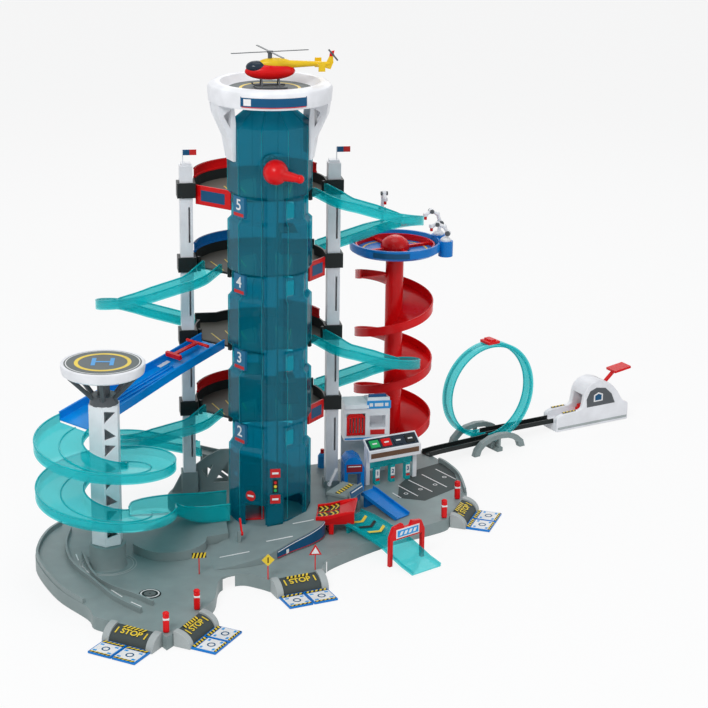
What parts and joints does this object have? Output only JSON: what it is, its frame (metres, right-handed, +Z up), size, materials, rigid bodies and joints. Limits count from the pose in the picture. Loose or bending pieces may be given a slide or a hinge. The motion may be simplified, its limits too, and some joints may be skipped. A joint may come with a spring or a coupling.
{
  "type": "toy car service station",
  "caption": "Tall toy parking garage with a crank lift, ring decks, spiral and half-turn ramps, a slide, helicopter pads, a looping track and a car launcher.",
  "frame": {"origin": "centre of the foot boss's underside, on the floor under the tower's axis", "axes": "+Z up, +X to the right of the crank side along the longest extent, -Y towards the crank side"},
  "size_m": [1.5207, 1.2841, 1.0689],
  "materials": {
    "base_grey": "satin",
    "tower_teal": "clear gloss",
    "ramp_teal": "clear gloss",
    "white": "satin",
    "deck_black": "satin",
    "red": "gloss",
    "blue": "gloss",
    "chain_grey": "satin"
  },
  "bodies": {
    "station": {"base": "base_grey", "plinth_road": "base_grey", "loop_stand": "base_grey", "hut": "base_grey", "tower_shell": "tower_teal", "pump_row": "tower_teal", "ramp_right_upper": "ramp_teal", "ramp_left_upper": "ramp_teal", "ramp_right_lower": "ramp_teal", "ramp_left_lower": "ramp_teal", "spiral_left": "ramp_teal", "loop": "ramp_teal", "landing_ramp": "ramp_teal", "column_left": "white", "column_right": "white", "heliport": "white", "top_pad": "white", "rescue_house": "white", "canopy": "white", "launcher": "white", "deck_5": "deck_black", "deck_4": "deck_black", "deck_3": "deck_black", "deck_2": "deck_black", "track_front": "deck_black", "track_back": "deck_black", "spiral_right": "red", "jump_ramp": "red", "arch_gate": "red", "entry_left": "blue", "entry_mid_left": "blue", "entry_front": "blue", "entry_right": "blue", "slide": "blue", "bowl": "blue", "workshop": "blue", "service_ramp": "blue", "lift_chain": "chain_grey"},
    "crank": {"crank": "red"},
    "lift_idler": {"lift_idler": "chain_grey"},
    "lift_up": {"cage_left_low": "red", "cage_left_high": "red"},
    "lift_down": {"cage_right_low": "red", "cage_right_high": "red"},
    "helicopter": {"helicopter": "red"},
    "rotor": {"rotor": "chain_grey"},
    "tail_rotor": {"tail_rotor": "chain_grey"},
    "slide_gate": {"slide_gate": "red"},
    "turntable": {"turntable": "red"},
    "robot_right": {"robot_right": "white"},
    "robot_back": {"robot_back": "white"},
    "house_shutter": {"house_shutter": "red"},
    "launcher_lever": {"launcher_lever": "red"},
    "launcher_pusher": {"launcher_pusher": "red"},
    "barrier_front": {"barrier_front": "red"},
    "barrier_back": {"barrier_back": "white"},
    "button_1": {"button_1": "deck_black"},
    "button_2": {"button_2": "deck_black"},
    "button_3": {"button_3": "deck_black"},
    "button_4": {"button_4": "deck_black"}
  },
  "joints": [
    {"name": "crank_turn", "type": "hinge", "parent": "station", "child": "crank", "pos_m": [0, -0.095, 0.833], "axis": [0, 1, 0], "range_deg": [0, 660]},
    {"name": "idler_turn", "type": "hinge", "parent": "station", "child": "lift_idler", "pos_m": [0, 0, 0.075], "axis": [0, 1, 0], "range_deg": [0, 661]},
    {"name": "left_cages_rise", "type": "slide", "parent": "station", "child": "lift_up", "axis": [0, 0, 1], "range_m": [0, 0.1845]},
    {"name": "right_cages_sink", "type": "slide", "parent": "station", "child": "lift_down", "axis": [0, 0, -1], "range_m": [0, 0.1845]},
    {"name": "helicopter_lift", "type": "slide", "parent": "station", "child": "helicopter", "axis": [0, 0, 1], "range_m": [0, 0.15]},
    {"name": "rotor_spin", "type": "hinge", "parent": "helicopter", "child": "rotor", "pos_m": [0, 0, 1.0638], "axis": [0, 0, 1], "continuous": true},
    {"name": "tail_rotor_spin", "type": "hinge", "parent": "helicopter", "child": "tail_rotor", "pos_m": [0.131, -0.0033, 1.0563], "axis": [0, -1, 0], "continuous": true},
    {"name": "slide_gate_lift", "type": "hinge", "parent": "station", "child": "slide_gate", "pos_m": [-0.14691, 0.10988, 0.40648], "axis": [-0.6026, 0.7981, 0], "range_deg": [0, 60]},
    {"name": "turntable_spin", "type": "hinge", "parent": "station", "child": "turntable", "pos_m": [0.338, 0.367, 0.54], "axis": [0, 0, 1], "continuous": true},
    {"name": "robot_right_swing", "type": "hinge", "parent": "station", "child": "robot_right", "pos_m": [0.45342, 0.34247, 0.565], "axis": [0, 0, 1], "range_deg": [-30, 30]},
    {"name": "robot_back_swing", "type": "hinge", "parent": "station", "child": "robot_back", "pos_m": [0.44832, 0.40285, 0.565], "axis": [0, 0, 1], "range_deg": [-30, 30]},
    {"name": "shutter_swing", "type": "hinge", "parent": "station", "child": "house_shutter", "pos_m": [0.225, 0.212, 0.1875], "axis": [-1, 0, 0], "range_deg": [0, 80]},
    {"name": "lever_press", "type": "hinge", "parent": "station", "child": "launcher_lever", "pos_m": [0.93172, 0.61395, 0.094], "axis": [-0.3584, 0.9336, 0], "range_deg": [0, 18], "stiffness_Nm_per_rad": 0.2},
    {"name": "pusher_strike", "type": "slide", "parent": "station", "child": "launcher_pusher", "axis": [-0.9336, -0.3584, 0], "range_m": [0, 0.03]},
    {"name": "front_barrier_drop", "type": "hinge", "parent": "station", "child": "barrier_front", "pos_m": [-0.078, -0.145, 0.057], "axis": [-0.9962, -0.0872, 0], "range_deg": [0, 45]},
    {"name": "back_barrier_drop", "type": "hinge", "parent": "station", "child": "barrier_back", "pos_m": [0.148, 0.105, 0.06], "axis": [-0.342, 0.9397, 0], "range_deg": [0, 50]},
    {"name": "button_1_press", "type": "slide", "parent": "station", "child": "button_1", "axis": [-0.1954, 0.5838, -0.788], "range_m": [0, 0.002], "stiffness_N_per_m": 300},
    {"name": "button_2_press", "type": "slide", "parent": "station", "child": "button_2", "axis": [-0.1954, 0.5838, -0.788], "range_m": [0, 0.002], "stiffness_N_per_m": 300},
    {"name": "button_3_press", "type": "slide", "parent": "station", "child": "button_3", "axis": [-0.1954, 0.5838, -0.788], "range_m": [0, 0.002], "stiffness_N_per_m": 300},
    {"name": "button_4_press", "type": "slide", "parent": "station", "child": "button_4", "axis": [-0.1954, 0.5838, -0.788], "range_m": [0, 0.002], "stiffness_N_per_m": 300}
  ],
  "couplings": [
    {"joint": "idler_turn", "follows": "crank_turn", "ratio": 1},
    {"joint": "left_cages_rise", "follows": "crank_turn", "m_per_rad": 0.016},
    {"joint": "right_cages_sink", "follows": "crank_turn", "m_per_rad": 0.016},
    {"joint": "pusher_strike", "follows": "lever_press", "m_per_rad": 0.09}
  ]
}
